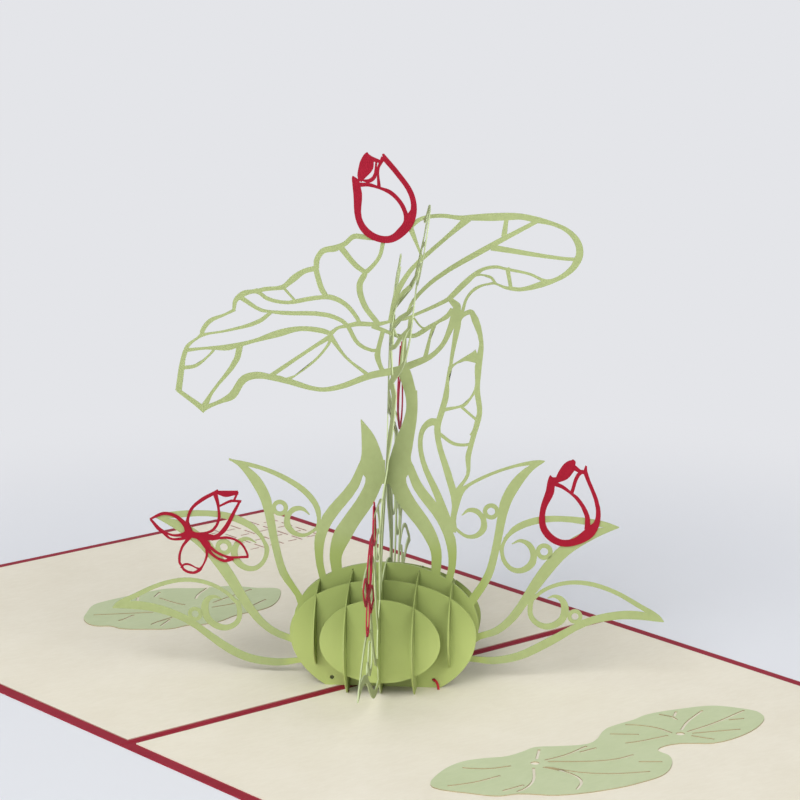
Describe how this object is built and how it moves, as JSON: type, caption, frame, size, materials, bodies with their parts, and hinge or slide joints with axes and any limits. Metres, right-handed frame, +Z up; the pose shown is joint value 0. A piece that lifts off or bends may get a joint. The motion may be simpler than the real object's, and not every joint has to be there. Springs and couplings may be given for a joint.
{
  "type": "pop up card",
  "caption": "Folded greeting card lying open, with a lattice of slotted paper slats that raises a cut paper lotus leaf, scrolls and red blooms over the fold.",
  "frame": {"origin": "middle of the fold on the underside of the open cover", "axes": "+X across the fold towards the right page, +Y along the fold away from the reader, +Z up out of the open pages"},
  "size_m": [0.3024, 0.161, 0.1359],
  "materials": {
    "cover": "pearl burgundy card, slightly glossy",
    "liner": "matt cream paper",
    "lily_pad": "matt pale green paper",
    "green_slat": "matt leaf green paper",
    "red_bloom": "matt crimson paper",
    "red_thread": "red sewing thread"
  },
  "bodies": {
    "root": {"cover_card": "cover", "left_liner": "liner", "right_liner": "liner", "back_lily_pad": "lily_pad", "front_lily_pads": "lily_pad", "front_slat_outer_front": "green_slat", "front_slat_inner_front": "green_slat", "front_slat_middle": "green_slat", "front_slat_inner_rear": "green_slat", "front_slat_outer_rear": "green_slat", "cross_slat_outer_left": "green_slat", "cross_slat_inner_left": "green_slat", "cross_slat_middle": "green_slat", "cross_slat_inner_right": "green_slat", "cross_slat_outer_right": "green_slat", "top_bud": "red_bloom", "right_bud": "red_bloom", "left_flower": "red_bloom", "cross_front_flower": "red_bloom", "cross_front_bud": "red_bloom", "cross_rear_bud": "red_bloom", "thread_stitch_right": "red_thread", "thread_stitch_left": "red_thread"}
  },
  "joints": []
}
